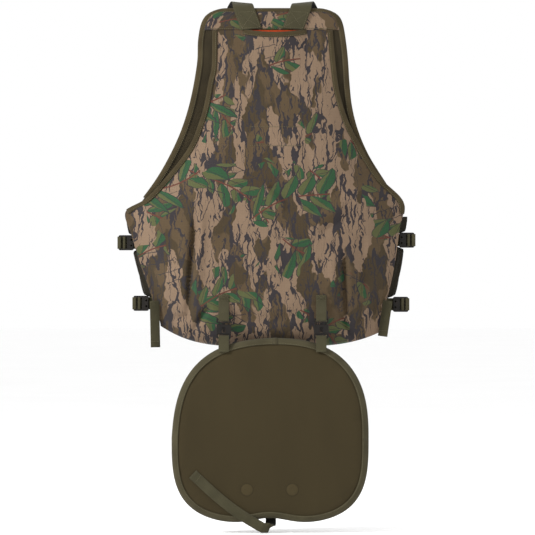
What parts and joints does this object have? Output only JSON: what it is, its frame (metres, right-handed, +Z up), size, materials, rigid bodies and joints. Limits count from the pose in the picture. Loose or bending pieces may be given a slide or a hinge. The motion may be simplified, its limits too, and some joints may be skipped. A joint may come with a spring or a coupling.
{
  "type": "field vest with clip-on seat",
  "caption": "Camouflage field vest with a rear game bag, webbing shoulder straps, side strap adjusters and a padded seat hung from side-release clips.",
  "frame": {"origin": "on the line where a hanger or the wearer's shoulders carry the two strap crests, above the seat's middle", "axes": "+Z up, +Y the way the wearer faces, so the game bag and the seat are on the -Y side, and +X to the wearer's right"},
  "size_m": [0.5712, 0.1936, 1.0109],
  "materials": {
    "camo_cloth": "woven cloth with a bark and leaf print",
    "olive_quilt": "matt cloth over thin padding",
    "orange_lining": "smooth bright lining",
    "dark_mesh": "dark gathered mesh",
    "webbing": "ribbed nylon webbing",
    "edge_tape": "ribbed edge tape",
    "buckle_plastic": "moulded, lightly satin",
    "foam": "closed-cell foam",
    "seat_cloth": "smooth brushed cloth",
    "magnet_steel": "plated"
  },
  "bodies": {
    "back": {"back_panel": "olive_quilt", "back_binding": "edge_tape", "yoke_panel": "camo_cloth", "bag_lining": "orange_lining", "game_bag": "camo_cloth", "bag_binding": "edge_tape", "shoulder_strap_left": "webbing", "shoulder_strap_right": "webbing", "side_wing_left": "dark_mesh", "side_wing_right": "dark_mesh", "adjuster_upper_left": "buckle_plastic", "adjuster_lower_left": "buckle_plastic", "adjuster_upper_right": "buckle_plastic", "adjuster_lower_right": "buckle_plastic", "anchor_web_upper_left": "webbing", "anchor_web_lower_left": "webbing", "anchor_web_upper_right": "webbing", "anchor_web_lower_right": "webbing", "pull_web_upper_left": "webbing", "pull_web_lower_left": "webbing", "pull_web_upper_right": "webbing", "pull_web_lower_right": "webbing", "bag_web_left": "webbing", "bag_web_right": "webbing", "clip_plug_left": "buckle_plastic", "clip_plug_right": "buckle_plastic"},
    "front_left": {"shoulder_pad_left": "olive_quilt", "front_panel_left": "camo_cloth", "front_binding_left": "edge_tape", "cargo_pocket_left": "camo_cloth", "clip_plug_waist": "buckle_plastic", "waist_web_left": "webbing"},
    "front_right": {"shoulder_pad_right": "olive_quilt", "front_panel_right": "camo_cloth", "front_binding_right": "edge_tape", "cargo_pocket_right": "camo_cloth", "clip_socket_waist": "buckle_plastic", "waist_web_right": "webbing"},
    "flap_left": {"cargo_flap_left": "camo_cloth"},
    "flap_right": {"cargo_flap_right": "camo_cloth"},
    "tail_left": {"adjuster_tail_left": "webbing"},
    "tail_right": {"adjuster_tail_right": "webbing"},
    "arm_left_a": {"latch_arm_left_a": "buckle_plastic"},
    "arm_left_b": {"latch_arm_left_b": "buckle_plastic"},
    "arm_right_a": {"latch_arm_right_a": "buckle_plastic"},
    "arm_right_b": {"latch_arm_right_b": "buckle_plastic"},
    "clips": {"clip_socket_left": "buckle_plastic", "clip_socket_right": "buckle_plastic", "socket_loop_left": "webbing", "socket_loop_right": "webbing"},
    "seat": {"seat_foam": "foam", "seat_cover_outer": "seat_cloth", "seat_cover_inner": "seat_cloth", "seat_binding": "edge_tape", "seat_magnet_left": "magnet_steel", "seat_magnet_right": "magnet_steel", "seat_tab_left": "webbing", "seat_tab_right": "webbing", "carry_strap_root": "webbing"},
    "carry_strap": {"carry_strap_tail": "webbing"}
  },
  "joints": [
    {"name": "front_open_left", "type": "hinge", "parent": "back", "child": "front_left", "pos_m": [-0.066, 0.04, -0.022], "axis": [0.3951, 0.0575, 0.9168], "range_deg": [0, 100]},
    {"name": "front_open_right", "type": "hinge", "parent": "back", "child": "front_right", "pos_m": [0.082, 0.04, -0.022], "axis": [0.3688, -0.0582, -0.9277], "range_deg": [0, 100]},
    {"name": "flap_lift_left", "type": "hinge", "parent": "front_left", "child": "flap_left", "pos_m": [-0.138, 0.0404, -0.4204], "axis": [0.9899, 0.1421, 0], "range_deg": [0, 88]},
    {"name": "flap_lift_right", "type": "hinge", "parent": "front_right", "child": "flap_right", "pos_m": [0.138, 0.0404, -0.4204], "axis": [0.9899, -0.1421, 0], "range_deg": [0, 88]},
    {"name": "tail_swing_left", "type": "hinge", "parent": "back", "child": "tail_left", "pos_m": [-0.217, -0.0344, -0.568], "axis": [-0.9439, -0.3304, 0], "range_deg": [0, 60]},
    {"name": "tail_swing_right", "type": "hinge", "parent": "back", "child": "tail_right", "pos_m": [0.229, -0.0305, -0.568], "axis": [-0.9439, 0.3304, 0], "range_deg": [0, 60]},
    {"name": "latch_left_b", "type": "hinge", "parent": "back", "child": "arm_left_b", "pos_m": [-0.0754, -0.1039, -0.6104], "axis": [0, 1, 0], "range_deg": [0, 8]},
    {"name": "latch_left_a", "type": "hinge", "parent": "back", "child": "arm_left_a", "pos_m": [-0.0926, -0.1039, -0.6104], "axis": [0, 1, 0], "range_deg": [-8, 0]},
    {"name": "latch_right_b", "type": "hinge", "parent": "back", "child": "arm_right_b", "pos_m": [0.1096, -0.1039, -0.6104], "axis": [0, 1, 0], "range_deg": [0, 8]},
    {"name": "latch_right_a", "type": "hinge", "parent": "back", "child": "arm_right_a", "pos_m": [0.0924, -0.1039, -0.6104], "axis": [0, 1, 0], "range_deg": [-8, 0]},
    {"name": "seat_release", "type": "slide", "parent": "back", "child": "clips", "axis": [0, 0, -1], "range_m": [0, 0.04]},
    {"name": "seat_swing", "type": "hinge", "parent": "clips", "child": "seat", "pos_m": [0.008, -0.1104, -0.646], "axis": [-1, 0, 0], "range_deg": [0, 170]},
    {"name": "carry_strap_lift", "type": "hinge", "parent": "seat", "child": "carry_strap", "pos_m": [-0.01, -0.1065, -0.998], "axis": [0.6086, 0, 0.7935], "range_deg": [0, 150]}
  ],
  "couplings": [
    {"joint": "latch_left_a", "follows": "latch_left_b", "ratio": -1},
    {"joint": "latch_right_a", "follows": "latch_right_b", "ratio": -1}
  ]
}
